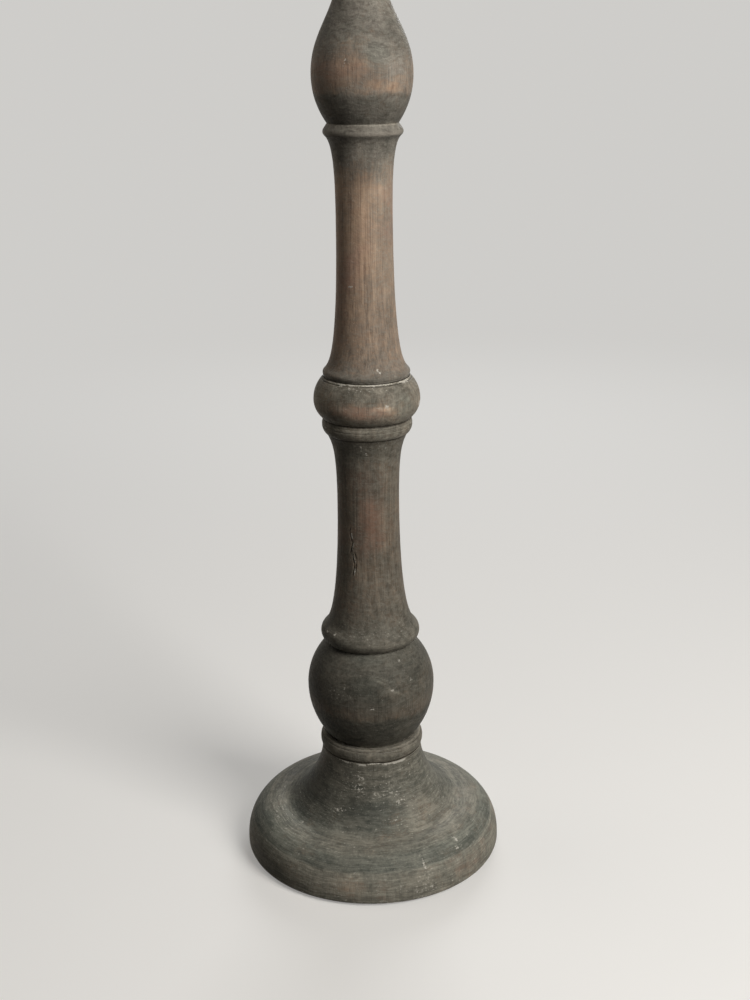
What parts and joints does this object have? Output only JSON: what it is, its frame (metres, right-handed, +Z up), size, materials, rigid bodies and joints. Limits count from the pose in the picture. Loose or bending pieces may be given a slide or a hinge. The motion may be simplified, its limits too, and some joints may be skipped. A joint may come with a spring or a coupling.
{
  "type": "pricket candle stand",
  "caption": "Turned wooden candle stand: round foot, baluster column with ball, knop and onion bulb, and a cup with a loose iron drip pan round an iron spike.",
  "frame": {"origin": "on the table, under the middle of the foot", "axes": "+Z up along the column's axis, +X and +Y level; -Y faces the picture's camera"},
  "size_m": [0.16, 0.16, 0.6349],
  "materials": {
    "aged_wood": "dry grey-brown wash, worn to brown on the swellings",
    "dowel_wood": "plain",
    "steel": "zinc plated",
    "felt": "pressed felt",
    "iron": "blackened"
  },
  "bodies": {
    "stand": {"foot": "aged_wood", "foot_pads": "felt", "foot_screw": "steel", "foot_washer": "steel", "lower_column": "aged_wood", "middle_dowel": "dowel_wood", "upper_column": "aged_wood", "candle_cup": "aged_wood", "pricket": "iron"},
    "pan": {"drip_pan": "iron"}
  },
  "joints": [
    {"name": "pan_lift", "type": "slide", "parent": "stand", "child": "pan", "axis": [0, 0, 1], "range_m": [0, 0.065]}
  ]
}
